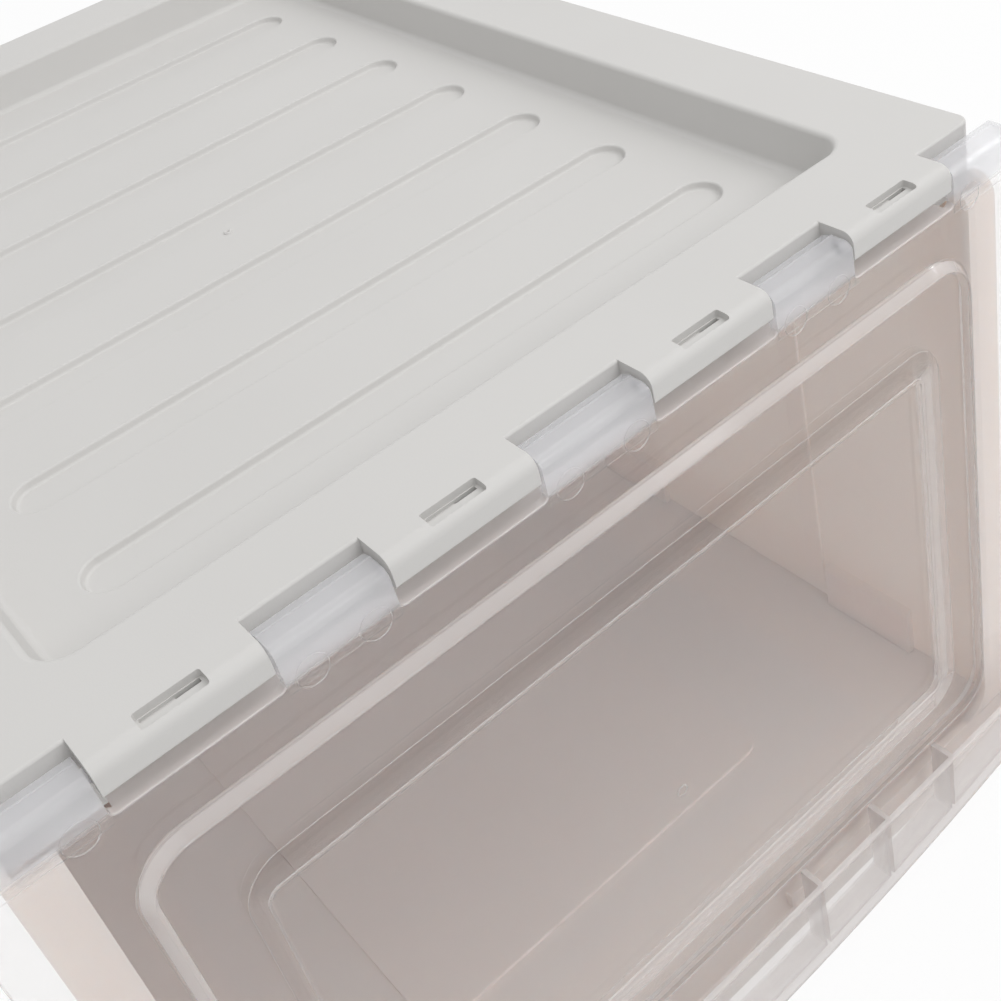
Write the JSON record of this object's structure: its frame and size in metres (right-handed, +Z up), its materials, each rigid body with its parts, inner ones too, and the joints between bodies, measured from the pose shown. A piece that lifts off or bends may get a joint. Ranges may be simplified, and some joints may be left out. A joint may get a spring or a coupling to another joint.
{
  "type": "shoe box",
  "caption": "Stackable plastic shoe box with a see-through front door that flips up on snap-in hinge tabs, and a recessed, grooved top that another box's foot drops into.",
  "frame": {"origin": "on the surface the box stands on, under the middle of its overall box", "axes": "+Z up, -Y towards the door, +X to the right seen from the front"},
  "size_m": [0.28, 0.3496, 0.232],
  "materials": {
    "lid_plastic": "satin light grey polypropylene",
    "body_plastic": "satin cream polypropylene",
    "door_plastic": "hazy see-through polypropylene"
  },
  "bodies": {
    "box": {"base_panel": "body_plastic", "left_side_panel": "body_plastic", "right_side_panel": "body_plastic", "back_panel": "body_plastic", "top_panel": "lid_plastic"},
    "door": {"front_door": "door_plastic"}
  },
  "joints": [
    {"name": "door_hinge", "type": "hinge", "parent": "box", "child": "door", "pos_m": [0, -0.1611, 0.2269], "axis": [-1, 0, 0], "range_deg": [0, 110]}
  ]
}
